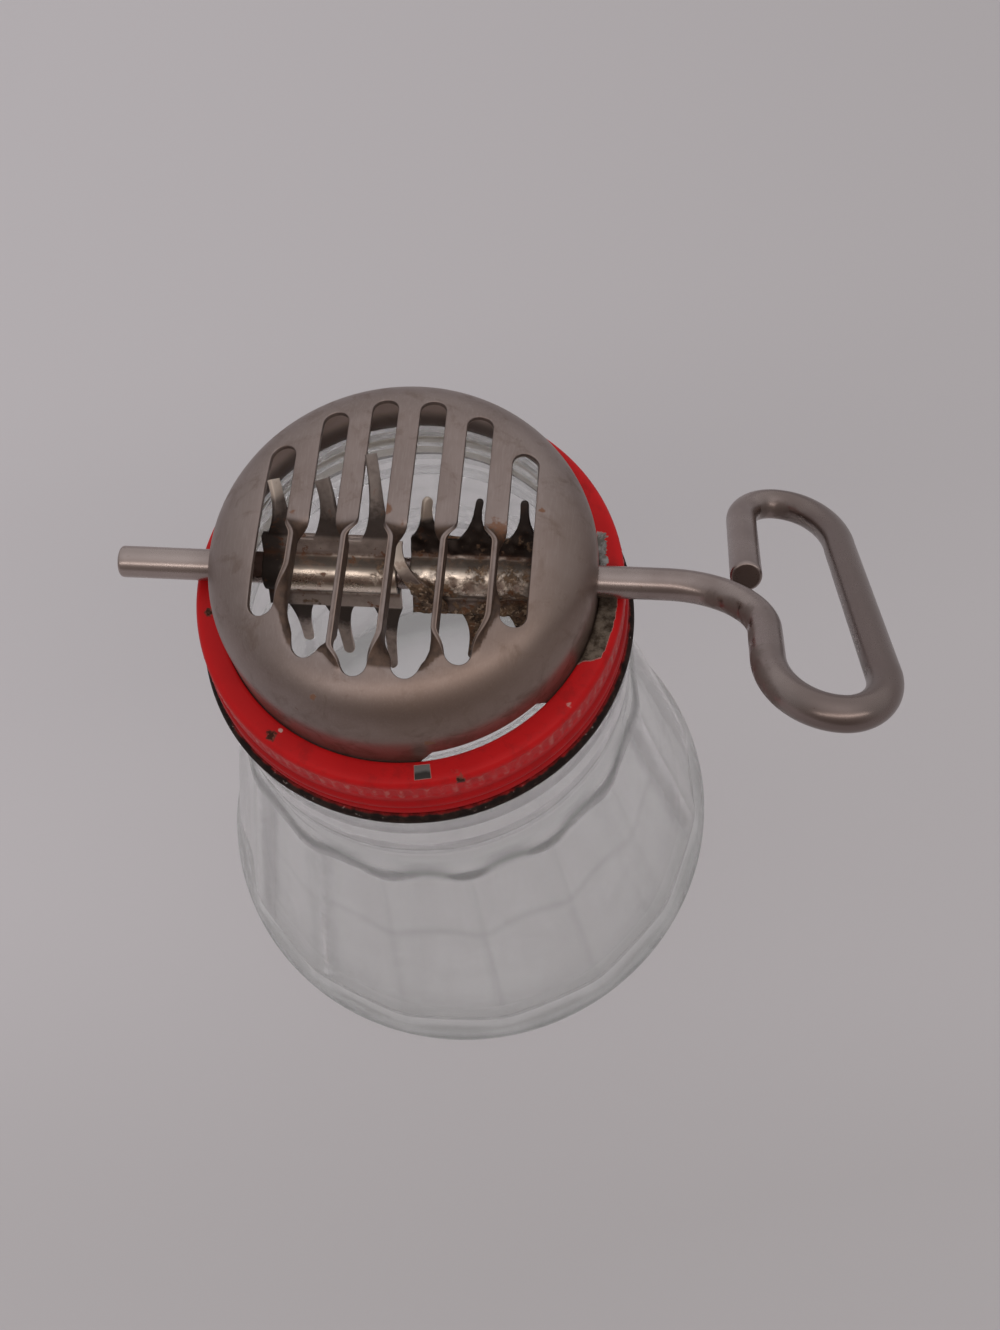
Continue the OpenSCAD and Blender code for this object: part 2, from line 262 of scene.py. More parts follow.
# Glass jar: radius as a function of turn and height. The outside is the soft minimum of a
# fifteen-sided pyramid of flat panels and a cone shoulder, over a round foot, below a neck and
# a threaded finish; the inside is the same body with softer edges, a wall's thickness in.
# Both are rows of one closed grid.
jarForm = dict(
    footR=49.89, footH=6.0, heelR=5.0, underR=(10.0, 25.0, 38.0), footRows=(5.3, 5.6),
    ledgeTopZ=9.5, ledgeH=4.0, panels=15, panelTurn=8.4, pointZ=69.0, pointR=35.4,
    cornerFootR=49.5, neckR=33.4, shoulderSlope=42.0, neckFadeZ=75.0, neckFadeH=8.0,
    finishR=30.4, neckTopZ=91.2, finishZ=94.2, rimZ=108.45, rimRound=1.1, mouthR=27.0,
    mouthRows=((27.0, 103.0), (27.0, 98.5), (27.1, 96.0), (27.7, 94.6), (29.8, 92.4)),
    floorZ=6.0, floorRound=4.0, floorR=(30.0, 18.0, 8.0), wall=3.1, wave=0.04,
    threadLead=4.2, threadTurns=1.25, threadZ=100.5, threadDepth=0.95, threadHalfW=0.95,
    threadFade=0.05, columns=330, edgeSoft=1.1, shoulderSoft=1.3, neckSoft=2.4,
    innerSoft=(3.0, 1.7, 3.2), bodyRows=((5.8, 9.8, 14), (10.8, 61.0, 30), (62.0, 75.8, 60)),
    wallRows=((58.0, 50.0, 5), (49.4, 41.0, 15), (39.0, 17.0, 9)), lineW=0.45, lineFade=3.0,
    cornerLine=0.2, heelLine=0.95, heelTopZ=7.8, heelFade=1.8, innerCornerZ=45.0,
    footTint=((25.0, 13.0, 0.35), (40.0, 6.0, 0.65)), innerCornerW=0.8, innerLineW=1.6,
    innerLines=((45.0, 2.5, 0.34), (12.0, 1.5, 0.3)),
)


def buildJar(form, material):
    form = SimpleNamespace(**form)
    turn = turns(form.columns)[None, :]
    # rows of the outside as radius and height, from the foot's middle to the rim
    heel = arcPoints(form.footR - form.heelR, form.heelR, form.heelR, -90, 0, 9)
    plain = join([[[r, 0.0] for r in form.underR], heel, [[form.footR, z] for z in form.footRows]])
    # rows close together where the surface turns or carries a line
    body = join([np.linspace(*row) for row in (*form.bodyRows, (76.5, form.neckTopZ, 22))])
    neckRound = arcPoints(form.finishR, form.neckTopZ, form.neckR - form.finishR, 0, 90, 9)[1:-1]
    lipZ = form.rimZ - form.rimRound
    finish = np.linspace(form.finishZ, lipZ, 32)
    rimOut = arcPoints(form.finishR - form.rimRound, lipZ, form.rimRound, 0, 90, 7)[1:]
    rimIn = arcPoints(form.mouthR + form.rimRound, lipZ, form.rimRound, 90, 180, 7)
    share = fullTurn / form.panels
    phase = np.mod(turn - np.radians(form.panelTurn) + share / 2.0, share) - share / 2.0
    toCorner = share / 2.0 - np.abs(phase)

    def flatR(height):  # distance of the panels' middles from the axis
        down = (form.pointZ - height) / (form.pointZ - form.footH)
        return (form.pointR + (form.cornerFootR - form.pointR) * down) * np.cos(share / 2.0)

    def facesR(height, cornerSoft, neckSoft):
        # flat panels: a regular polygon that narrows upwards, its corners a little rounded
        near = flatR(height) / np.cos(phase)
        nextFace = flatR(height) / np.cos(share - np.abs(phase))
        # shoulder cone, rounded into the neck
        cone = form.pointR + (form.pointZ - height) * np.tan(np.radians(form.shoulderSlope))
        shoulder = -softLess(-cone, np.full_like(cone, -form.neckR), neckSoft)
        return softLess(near, nextFace, cornerSoft), shoulder

    def bodyR(height, cornerSoft, shoulderSoft, neckSoft):
        panel, shoulder = facesR(height, cornerSoft, neckSoft)
        above = smooth((height - form.neckFadeZ) / form.neckFadeH)
        return softLess(panel, shoulder, shoulderSoft) * (1.0 - above) + form.neckR * above

    z = body[:, None]
    side = bodyR(z, form.edgeSoft, form.shoulderSoft, form.neckSoft)
    # the foot, a smooth step from the round foot to the panels
    ledge = smooth((form.ledgeTopZ - z) / form.ledgeH)
    side = side * (1.0 - ledge) + form.footR * ledge
    # lines of thicker glass tint along the arches and the panels' corners, partly painted shade standing in
    # for refraction, and a painted dark outline at the heel: bell curves
    panel, shoulder = facesR(z, form.edgeSoft, form.neckSoft)
    arch = bell(panel - shoulder, form.lineW) * smooth((form.neckFadeZ - z) / form.lineFade)
    corner = form.cornerLine * bell(toCorner * side, form.lineW) * smooth(shoulder - panel)
    heelLine = form.heelLine * smooth((form.heelTopZ - z) / form.heelFade)
    sideLine = np.maximum(np.maximum(arch, corner), heelLine)
    # under the foot the painted dark outline starts faint and grows towards the heel
    r = plain[:, :1]
    footLine = form.heelLine * sum(share * smooth((r - low) / wide) for low, wide, share in form.footTint)
    # thread: a ridge that climbs round the finish, fading at its two ends
    ridge = 0.0
    for lap in range(2):
        t = turn / fullTurn + lap
        off = (finish[:, None] - form.threadZ - form.threadLead * t) / form.threadHalfW
        ends = smooth(t / form.threadFade) * smooth((form.threadTurns - t) / form.threadFade)
        ridge = ridge + np.clip(1.0 - off * off, 0.0, 1.0) * ends
    grown = form.finishR + form.threadDepth * ridge
    # the hollow, from the mouth down to the floor
    bendZ = form.floorZ + form.floorRound
    wallRows = ((form.neckTopZ, 60.0, 36), *form.wallRows, (16.4, bendZ, 12))
    wall = join([np.linspace(*row) for row in wallRows])
    z = wall[:, None]
    hollow = bodyR(z, *form.innerSoft) - form.wall
    bendR = hollow[-1:].mean() - form.floorRound
    floor = arcPoints(bendR, bendZ, form.floorRound, 0, -90, 9)[1:]
    bottom = join([floor, [[r, form.floorZ] for r in form.floorR]])
    # inside, painted reflection lines of the arches, which rise a little in the middle of each panel, joined
    # by faint corners
    bow = 1.0 - (2.0 * phase / share) ** 2
    inCorner = bell(toCorner * hollow, form.innerCornerW) * smooth((form.innerCornerZ - z) / form.lineFade)
    innerLine = form.cornerLine * inCorner
    for lineZ, rise, strength in form.innerLines:
        innerLine = np.maximum(innerLine, strength * bell(z - lineZ - rise * bow, form.innerLineW))
    hollow = hollow + form.wave * wobble(turn, z, 4)

    def turned(rows, line=0.0):  # radius, height and line of plain turned rows
        return rows[:, :1], rows[:, 1], line

    parts = (turned(plain, footLine), (side, body, sideLine), turned(neckRound), (grown, finish, 0.0),
             turned(rimOut), turned(rimIn), turned(np.array(form.mouthRows)), (hollow, wall, innerLine),
             turned(bottom))
    sizes = [(len(height), form.columns) for radius, height, line in parts]
    radius = join([np.broadcast_to(part[0], size) for part, size in zip(parts, sizes)])
    line = join([np.broadcast_to(part[2], size) for part, size in zip(parts, sizes)])
    height = join([part[1] for part in parts])[:, None] + 0.0 * turn
    points = join([spun(radius, height, turn), [[0.0, 0.0, 0.0], [0.0, 0.0, form.floorZ]]])
    table = np.arange(radius.size).reshape(radius.shape)
    return addPiece("jarGlass", points, ringQuads(table), capFans(table), material, "jar", "glass_jar",
                    {"line": np.append(line, [0.0, 0.0])})


glass = Paint("clearPressedGlass", {
    "Roughness": 0.02, "IOR": 1.5, "Transmission Weight": 1.0, "Alpha": 0.75, "Specular IOR Level": 0.2,
})
# painted shade in the glass: a dark tint along the lines, thicker glass at the arches and corners, a dark
# outline at the heel and reflection lines inside
glassTintAndShade = glass.mix(glass.attribute("line"), (0.97, 0.98, 0.975), (0.2, 0.225, 0.205))
ripple = glass.noise(9.0, 1.0, 0.4) + 0.25 * glass.noise(2.5, 1.0, 0.4)
jar = buildJar(jarForm, glass.use(glassTintAndShade, height=ripple, depth=0.025))
jar.visible_shadow = jar.visible_diffuse = False  # clear glass lets the light through to the floor


# Screw lid: a closed profile turned round the jar's axis, with radius pushed out by upright ribs
# below the top edge and by a slow wobble of the worn sheet.
lidForm = dict(
    holeR=28.66, topZ=110.0, sheet=0.6, outR=32.4, edgeR=1.2, beadR=1.2, beadOut=0.55,
    beadZ=(102.4, 100.1), beadGap=1.35, rimX=32.8, rimZ=98.0, rimR=1.1, inFootZ=98.6,
    ribs=104, ribDepth=0.2, ribZ=(105.0, 108.9), ribFade=0.7, columns=832, wobble=0.05,
    topWobble=0.06, topFromZ=109.0, crestLow=-0.35, crestMiddle=0.4, crestWear=(0.1, 0.8),
    holeRound=((0.0, 0.2), (0.06, 0.06), (0.2, 0.0)), holeFlat=0.6, holeUnder=((0.9, 0.0), (0.0, 0.1)),
)


def buildLid(form, material):
    form = SimpleNamespace(**form)
    inR = form.outR - form.sheet
    beadX = form.outR + form.beadOut - form.beadR
    swing = np.degrees(np.arccos((form.outR - beadX) / form.beadR))
    edgeX, edgeZ = form.outR - form.edgeR, form.topZ - form.edgeR
    up, low = form.beadZ
    # angles at which the rolled rim meets the outer and the inner wall
    rollOut = np.degrees(np.arccos((form.outR - form.rimX) / form.rimR))
    rollIn = np.degrees(np.arccos((inR - form.rimX) / form.rimR))
    # the hole's edge is a small round
    outer = join([
        [[form.holeR + off, form.topZ - deep] for off, deep in form.holeRound],
        [[r, form.topZ] for r in np.linspace(form.holeR + form.holeFlat, edgeX, 6)[:-1]],
        arcPoints(edgeX, edgeZ, form.edgeR, 90, 0, 9),
        [[form.outR, z] for z in np.linspace(edgeZ, up + form.beadGap, 18)[1:]],
        arcPoints(beadX, up, form.beadR, swing, -swing, 9),
        arcPoints(beadX, low, form.beadR, swing, -swing, 9),
        arcPoints(form.rimX, form.rimZ, form.rimR, rollOut, -rollIn, 22),
    ])
    inner = join([
        [[inR, z] for z in np.linspace(form.inFootZ, edgeZ, 9)[:-1]],
        arcPoints(edgeX, edgeZ, form.edgeR - form.sheet, 0, 90, 5),
        [[form.holeR + off, form.topZ - form.sheet + rise] for off, rise in form.holeUnder],
    ])
    profile = join([outer, inner])
    r, z = profile[:, :1], profile[:, 1:]
    turn = turns(form.columns)[None, :]
    ribLow, ribHigh = form.ribZ
    window = smooth((z - ribLow) / form.ribFade) * smooth((ribHigh - z) / form.ribFade)
    window = window * (r > form.outR - form.sheet / 2.0)
    crest = np.clip(np.cos(form.ribs * turn), form.crestLow, 1.0)
    radius = r + form.ribDepth * window * (crest - form.crestMiddle) + form.wobble * wobble(turn, z, 11)
    height = z + form.topWobble * wobble(turn, r, 12) * (z > form.topFromZ) + 0.0 * turn
    points = spun(radius, height, turn)
    table = np.arange(len(points)).reshape(len(profile), -1)
    quads = ringQuads(join([table, table[:1]]))
    wearFrom, wearOver = form.crestWear
    rib = window * np.clip((crest + wearFrom) / wearOver, 0.0, 1.0)
    inside = (np.arange(len(profile)) >= len(outer))[:, None] + 0.0 * turn
    return addPiece("lidSheet", points, quads, [], material, "lid", "screw_lid",
                    {"rib": rib.reshape(-1), "inside": inside.reshape(-1)})


def redPaint():
    paint = Paint("wornRedPaint", {"Coat Roughness": 0.2, "Specular IOR Level": 0.1})
    noise, step, fall, mix, fade, larger = paint.tools()
    x, y, z = paint.x, paint.y, paint.z
    angle = paint.node("Math", {"operation": "ARCTAN2"}, {0: y, 1: x}) * (180.0 / np.pi)
    radius = (x * x + y * y) ** 0.5
    grain, fine, cloud = noise(1.6, 4.0, 0.65), noise(0.35, 3.0, 0.6), noise(14.0, 3.0)
    jag = (grain - 0.5) * 2.0
    # bare strips beside the dome, one each side of the shaft, and a bare square beside the notch
    below = (step(angle + 1.5 * jag - 1.6 * (radius - 29.3), -24.2, -23.2)
             * fall(angle, 2.0, 4.0) * fall(radius + 0.35 * jag, 31.3, 31.5))
    beyond = (step(angle + 7.0 * jag, 6.5, 7.5) * fall(angle + 5.0 * jag, 18.5, 19.5)
              * fall(radius + 1.6 * jag - 0.1 * (angle - 14.0), 30.2, 30.4))
    tab = (step(angle, -82.5, -82.2) * fall(angle, -78.2, -77.8)
           * step(radius + 0.1 * jag, 29.2, 29.3) * fall(radius + 0.15 * jag, 31.3, 31.5))
    bare = larger(below, beyond, tab) * step(z, 109.0, 109.5)
    chip = paint.spots(((-29.5, -6.5, 110.0, 0.7), (-17.2, -25.7, 109.6, 0.8), (10.6, -30.1, 109.1, 0.95),
                        (-32.0, 3.0, 105.0, 0.5), (4.0, 31.4, 109.4, 0.8), (-22.0, 22.0, 110.0, 0.6),
                        (27.0, 17.6, 108.8, 0.5)), grain, 0.8)
    flake = step(noise(2.8, 4.0, 0.7), 0.7, 0.73) * step(noise(19.0, 2.0), 0.5, 0.62)
    worn = larger(bare, chip, flake * 0.85)
    # red, darker low down as painted shade on the skirt, dull in patches that are kept to the right as
    # painted shade there, and rubbed thin along the ribs
    red = fade(cloud, 0.3, 0.7, (0.61, 0.012, 0.014), (0.52, 0.01, 0.012))
    red = mix(fall(z + 0.4 * jag, 103.2, 105.0) * 0.55, red, (0.36, 0.008, 0.011))
    dullAndShade = step(noise(3.2, 4.0, 0.7), 0.47, 0.66) * step(x, -30.0, -10.0)
    red = mix(dullAndShade * 0.45, red, (0.33, 0.012, 0.013))
    red = mix(paint.attribute("rib") * step(grain, 0.42, 0.7) * 0.8, red, (0.58, 0.17, 0.15))
    steel = fade(grain, 0.35, 0.65, (0.06, 0.043, 0.031), (0.23, 0.185, 0.145))
    steel = mix(beyond, steel, fade(grain, 0.4, 0.6, (0.36, 0.35, 0.34), (0.16, 0.145, 0.13)))
    square = fade(radius + 0.3 * jag, 30.0, 30.6, (0.24, 0.235, 0.23), (0.07, 0.065, 0.062))
    colour = mix(worn, red, mix(tab, steel, square))
    colour = mix(chip, colour, fade(grain, 0.45, 0.7, (0.07, 0.026, 0.018), (0.19, 0.095, 0.065)))
    # pale edges of the bare metal, and two pale specks
    edge = step(bare, 0.05, 0.35) * fall(bare, 0.5, 0.95)
    speck = larger(paint.spots(((25.2, -18.5, 109.6, 0.45),), grain, 0.8),
                   paint.spots(((-16.0, -24.7, 110.0, 0.3),), grain, 0.9))
    colour = mix(larger(edge * 0.5, speck * 0.9), colour, (0.62, 0.42, 0.38))
    # the rolled rim is dark, with a few bright grains, and the inside is tinned
    rim = fall(z + 0.2 * jag, 98.97, 99.22)
    dark = fade(grain, 0.4, 0.75, (0.015, 0.01, 0.009), (0.048, 0.029, 0.023))
    colour = mix(rim, colour, fade(noise(0.8, 2.0), 0.68, 0.72, dark, (0.22, 0.19, 0.18)))
    colour = mix(paint.attribute("inside") * (1.0 - rim), colour, (0.5, 0.46, 0.38))
    gone = larger(worn, rim)
    rough = 0.36 + 0.12 * cloud + 0.15 * gone + 0.1 * fine
    metal = larger(worn * 0.85, rim * 0.2)
    height = (1.0 - worn) * 0.6 + 0.25 * cloud + 0.1 * fine
    return paint.use(colour, rough, metal, (1.0 - gone) * 0.05, height, 0.05)


buildLid(lidForm, redPaint())


# Flat blank to bent sheet: the outline and holes are pulled in by the lip's radius and filled with
# Delaunay triangles, once for the outer face and once, a sheet's thickness down, for the inner one.
# Each edge is closed by a quarter round, a wall and a quarter round. bend(plan, depth) then forms it.
def insideLoops(points, loops):
    # even-odd rule: inside where a line to the right crosses the outlines an odd number of times
    crossings = np.zeros(len(points), int)
    x, y = points[:, :1], points[:, 1:]
    for loop in loops:
        ax, ay = loop.T
        bx, by = np.roll(loop, -1, axis=0).T
        straddle = (ay > y) != (by > y)
        rise = np.where(by == ay, 1.0, by - ay)
        crossings += np.sum(straddle & (x < ax + (y - ay) * (bx - ax) / rise), axis=1)
    return crossings % 2 == 1


def evenLoop(corners, spacing):
    # the closed outline through the corners, in steps of about the spacing, corners kept; points that
    # all but touch the next one are left out
    parts = []
    for a, b in zip(corners, np.roll(corners, -1, axis=0)):
        count = max(1, int(np.ceil(np.hypot(*(b - a)) / spacing)))
        parts.append(a + (b - a) * (np.arange(count) / count)[:, None])
    loop = join(parts)
    return loop[np.hypot(*(np.roll(loop, -1, axis=0) - loop).T) > 0.02]


def sheetMetal(loops, spots, spacing, sheet, lip, bend):
    def area(loop):
        after = np.roll(loop, -1, axis=0)
        return np.sum(loop[:, 0] * after[:, 1] - after[:, 0] * loop[:, 1])

    loops = [loop if (area(loop) > 0) == (k == 0) else loop[::-1] for k, loop in enumerate(loops)]
    inward = []
    for loop in loops:
        along = unit(np.roll(loop, -1, axis=0) - np.roll(loop, 1, axis=0))
        inward.append(np.stack([-along[:, 1], along[:, 0]], 1))
    pulled = [loop + lip * n for loop, n in zip(loops, inward)]
    rim = join(pulled)
    spots = spots[insideLoops(spots, pulled)]
    # spots too near the outline are left out, found in blocks to save memory
    clear = join([
        np.min(np.linalg.norm(part[:, None] - rim[None], axis=2), axis=1) > 0.6 * spacing
        for part in np.array_split(spots, max(1, len(spots) // 800))])
    plan = join([rim, spots[clear]])
    starts = np.cumsum([0] + [len(loop) for loop in pulled])
    links = [(s + k, s + (k + 1) % len(loop)) for s, loop in zip(starts, pulled) for k in range(len(loop))]
    made = geometry.delaunay_2d_cdt(plan.tolist(), links, [], 0, 1e-7)
    source = np.array([ids[0] for ids in made[3]])
    tris = source[np.array(made[2])]
    tris = tris[insideLoops(plan[tris].mean(axis=1), pulled)]
    # rows of a lip: distance in from the true outline, and depth
    quarter = np.radians([30.0, 60.0, 90.0])
    rows = [(lip * (1.0 - np.sin(a)), lip * (1.0 - np.cos(a))) for a in quarter]
    rows = rows + [(off, sheet - deep) for off, deep in reversed(rows)]
    count = len(plan)
    plans, depths, tables = [plan, plan], [np.zeros(count), np.full(count, sheet)], []
    at = 2 * count
    for s, loop, n in zip(starts, loops, inward):
        size = len(loop)
        table = [np.arange(s, s + size)]
        for off, deep in rows:
            plans.append(loop + off * n)
            depths.append(np.full(size, deep))
            table.append(np.arange(at, at + size))
            at += size
        tables.append(np.array(table + [np.arange(count + s, count + s + size)]))
    quads = join([ringQuads(t)[:, ::-1] for t in tables])
    plan, depth = join(plans), join(depths)
    return bend(plan, depth), quads, join([tris, tris[:, ::-1] + count]), plan, depth / sheet


# Slotted dome: a disk blank whose distance from the middle is arc length down a flat top, a round
# edge, a wall and a flange. Six slots, a notch and two shaft holes are cut in it, and each bar
# between slots is turned a quarter about its own length by a product of two smooth steps.
domeForm = dict(
    wallR=28.5, topZ=125.7, edgeR=9.4, sheet=0.8, flangeZ=109.3, flangeBend=0.5,
    flangeR=31.1, slots=6, pitch=7.05, slotW=3.8, slotReach=22.3, twistStart=2.4,
    twistLen=4.0, rootTwist=(7.5, 3.6, 6.0, 4.4, 7.0), rootSet=0.5, shaftZ=112.775, holeR=2.455,
    notchTop=112.2, notchFootZ=108.35, notchTurn=-60.0, notchTopW=16.2, notchFootW=21.2,
    lip=0.16, spacing=0.62, netR=24.0, ringStart=24.4, ringGap=0.85, ringStep=1.25, barReach=30.0,
    barShift=(-0.3, 0.1, -0.25, 0.05, 0.25),
)


def buildDome(form, material):
    form = SimpleNamespace(**form)
    flatR, edgeZ = form.wallR - form.edgeR, form.topZ - form.edgeR
    bendZ, bendR = form.flangeZ + form.flangeBend, form.flangeBend
    flangeIn = form.wallR + bendR
    a, f = np.radians(np.linspace(0, 90, 60)), np.linspace(0.0, 1.0, 30)
    sin, cos = np.sin(a), np.cos(a)
    run = join([
        strip(flatR * f, form.topZ, 0.0, 1.0),
        strip(flatR + form.edgeR * sin, edgeZ + form.edgeR * cos, sin, cos)[1:],
        strip(form.wallR, edgeZ + (bendZ - edgeZ) * f, 1.0, 0.0)[1:],
        strip(flangeIn - bendR * cos, bendZ - bendR * sin, cos, sin)[1:],
        strip(flangeIn + (form.flangeR - flangeIn) * f, form.flangeZ, 0.0, 1.0)[1:],
    ])
    length = arcLength(run)
    wallStart = flatR + form.edgeR * np.pi / 2.0

    def down(z):  # arc length at a height on the wall
        return wallStart + edgeZ - z

    slotX = (np.arange(form.slots) - (form.slots - 1) / 2.0) * form.pitch
    barX = slotX[:-1] + form.pitch / 2.0

    def reach(x):
        return np.sqrt(form.slotReach ** 2 - x * x)

    def unroll(xy):  # plan points from places on the flat top and the start of its round edge
        r = np.hypot(*xy.T)
        onRound = form.edgeR * np.arcsin(np.clip((r - flatR) / form.edgeR, 0, 1))
        s = np.where(r > flatR, flatR + onRound, r)
        return xy * (s / np.maximum(r, 1e-9))[:, None]

    half = form.slotW / 2.0
    loops = [length[-1] * arcPoints(0, 0, 1.0, 0, 360, 361)[:-1]]
    for x in slotX:
        end = reach(x) - half
        side = join([arcPoints(x, end, half, 0, 180, 16), arcPoints(x, -end, half, 180, 360, 16)])
        loops.append(unroll(evenLoop(side, 0.45)))
    # shaft holes in the wall, drawn round their height and turn, one on each side
    t = turns(48)
    swing = np.arcsin(form.holeR * np.sin(t) / form.wallR)
    ahead = down(form.shaftZ) - form.holeR * np.cos(t)
    for facing in (1.0, -1.0):
        loops.append(np.stack([facing * ahead * np.cos(swing), ahead * np.sin(swing)], 1))
    # the notch, a trapezoid on the wall, in turn times about the wall's radius and in arc length
    wide = np.array([-form.notchFootW, form.notchFootW, form.notchTopW, -form.notchTopW]) / 2.0
    turn = np.radians(form.notchTurn) + np.arcsin(wide / form.wallR)
    deep = down(np.array([form.notchFootZ, form.notchFootZ, form.notchTop, form.notchTop]))
    perTurn = np.array([30.0, 1.0])
    turn, deep = (evenLoop(np.stack([turn, deep], 1) * perTurn, 0.5) / perTurn).T
    loops.append(np.stack([deep * np.cos(turn), deep * np.sin(turn)], 1))
    # inner spots: a square net over the slots and rings over the round edge and wall
    net = np.arange(-form.netR, form.netR, form.spacing)
    square = np.stack(np.meshgrid(net, net), -1).reshape(-1, 2)
    square = square[np.hypot(*square.T) < form.netR]
    rings = [arcPoints(0, 0, s, 0, 360, int(6.28 * s / form.ringStep))[:-1]
             for s in np.arange(form.ringStart, length[-1] - 0.5, form.ringGap)]
    onEdge = None

    def bend(plan, depth):
        nonlocal onEdge
        s, turn = np.hypot(*plan.T), np.arctan2(plan[:, 1], plan[:, 0])
        onEdge = np.zeros(len(plan))
        r, z, nr, nz = (np.interp(s, length, run[:, k]) for k in range(4))
        r, z = r - depth * nr, z - depth * nz
        x, y = r * np.cos(turn), r * np.sin(turn)
        barW = form.pitch - form.slotW
        for k, bx in enumerate(barX):
            short = reach(abs(bx) + form.pitch / 2.0) - form.rootSet
            long = reach(abs(bx) - form.pitch / 2.0) - form.rootSet
            root = short + (long - short) * smooth((-np.sign(bx) * (plan[:, 0] - bx) + barW / 2.0) / barW)
            amount = smooth((form.twistStart - y) / form.twistLen) * smooth((y + root) / form.rootTwist[k])
            mine = (np.abs(plan[:, 0] - bx) < form.pitch / 2.0) & (s < form.barReach)
            amount = np.where(mine, amount, 0.0)
            onEdge = np.maximum(onEdge, amount)
            angle = (-1.0 if k % 2 == 0 else 1.0) * np.pi / 2.0 * amount
            u, w = x - bx, z - (form.topZ - form.sheet / 2.0)
            turnedX = bx + u * np.cos(angle) - w * np.sin(angle) + form.barShift[k] * smooth(amount)
            turnedZ = z - w + u * np.sin(angle) + w * np.cos(angle)
            x, z = np.where(mine, turnedX, x), np.where(mine, turnedZ, z)
        return np.stack([x, y, z], 1)

    points, quads, tris, plan, depth = sheetMetal(loops, join([square] + rings), form.spacing, form.sheet,
                                                  form.lip, bend)
    return addPiece("domeSheet", points, quads, tris, material, "dome", "slotted_dome",
                    {"inside": depth, "onEdge": onEdge, "lip": 1.0 - np.abs(2.0 * depth - 1.0) ** 4})


def satinSteel():
    paint = Paint("satinBrownSteel", {})
    noise, step, fall, mix, fade, larger = paint.tools()
    grain, fine, cloud = noise(1.3, 4.0, 0.6), noise(0.3, 3.0, 0.65), noise(11.0, 4.0, 0.6)
    stretched = paint.node("VectorMath", {"operation": "MULTIPLY"}, {0: paint.place, 1: (4.0, 0.35, 4.0)})
    brushed = noise(1.0, 3.0, 0.6, stretched)
    inside = paint.attribute("inside")
    tint = fade(cloud, 0.35, 0.7, (0.305, 0.245, 0.225), (0.262, 0.206, 0.187))
    tint = mix(step(brushed, 0.45, 0.75) * 0.35, tint, (0.36, 0.305, 0.285))
    smear = step(noise(4.5, 5.0, 0.7, None, 0.6), 0.5, 0.72)
    tint = mix(smear * 0.45, tint, (0.17, 0.115, 0.088))
    # warmer on the right and near side, and cloudy brown on the wall
    tint = mix(step(paint.x - paint.y + 16.0 * cloud, 18.0, 46.0) * 0.5, tint, (0.25, 0.172, 0.132))
    wallCloud = fall(paint.z, 115.0, 122.0) * step(noise(4.5, 5.0, 0.68, None, 0.8), 0.42, 0.62)
    tint = mix(wallCloud * 0.55, tint, (0.135, 0.088, 0.066))
    rust = paint.spots(((-1.3, 3.7, 125.7, 0.85), (14.2, 1.2, 125.2, 1.6), (-23.7, -5.0, 122.0, 0.55),
                        (20.4, 4.4, 125.5, 0.5), (-9.0, -24.0, 122.5, 0.7), (6.6, -27.4, 116.0, 0.7),
                        (0.4, 1.6, 124.9, 0.7), (-15.0, 2.5, 125.2, 0.6), (9.0, 24.0, 121.0, 0.8)),
                       grain, 0.9)
    # brown stain and painted shade on the faces that look into the slots, and all over the inside
    stainAndShade = step(inside, 0.25, 0.7) * step(cloud + 0.3 * grain, 0.42, 0.7)
    under = step(inside, 0.6, 0.95)
    # painted shade: dark brown on the faces of the bars turned on edge, most near their roots
    nearRoot = fall(paint.y, -9.0, -4.0)
    turnedFaceShade = step(paint.attribute("onEdge") * (1.0 + 3.0 * nearRoot), 0.06, 0.4)
    turnedFaceShade = turnedFaceShade * fall(paint.attribute("lip"), 0.1, 0.5)
    # inside, painted light pale under the round edge and painted shade dark towards the wall's foot
    high = step(paint.z + 2.0 * (cloud - 0.5), 111.0, 114.5)
    colour = mix(under * 0.85, tint, mix(high, (0.05, 0.028, 0.019), (0.42, 0.315, 0.27)))
    colour = mix(stainAndShade * 0.65 * (1.0 - 0.95 * under * high), colour, (0.085, 0.048, 0.03))
    colour = mix(turnedFaceShade * 0.9, colour, fade(grain, 0.35, 0.65, (0.055, 0.031, 0.02), (0.105, 0.06, 0.038)))
    # darker and browner towards the wall's foot
    footDarkening = fall(paint.z + 1.5 * cloud, 110.8, 115.5) * 0.5
    colour = mix(footDarkening, colour, (0.105, 0.07, 0.056))
    specks = step(grain, 0.7, 0.76) * step(cloud, 0.5, 0.65)
    colour = mix(specks * 0.45, colour, (0.16, 0.09, 0.055))
    colour = mix(rust * 0.85, colour, (0.19, 0.078, 0.034))
    spoilt = larger(rust, stainAndShade * 0.7, turnedFaceShade * 0.6, footDarkening * 0.5)
    rough = 0.33 + 0.08 * cloud + 0.08 * fine + 0.1 * smear + 0.25 * spoilt
    height = 0.25 * fine + 0.3 * brushed + 0.7 * cloud + 0.4 * smear + rust * 0.8
    return paint.use(colour, rough, 1.0 - 0.8 * spoilt, None, height, 0.015)


buildDome(domeForm, satinSteel())


# Crank wire: a circle carried along straight legs, an arc and quarter ellipses that lie in one plane,
# which is turned about the shaft; both ends are cut square with a small round.
crankForm = dict(
    wireR=2.375, shaftZ=112.775, stub=43.3, bendStart=38.4, bendR=13.5, loopW=14.7,
    near=35.2, far=32.3, tipShift=1.9, tipGap=1.3, nearInnerR=8.6, farInnerR=5.2, slant=2.0,
    nearLong=(13.5, 10.0), farLong=(7.5, 17.0), turn=142.0, endRound=0.45, around=40,
)


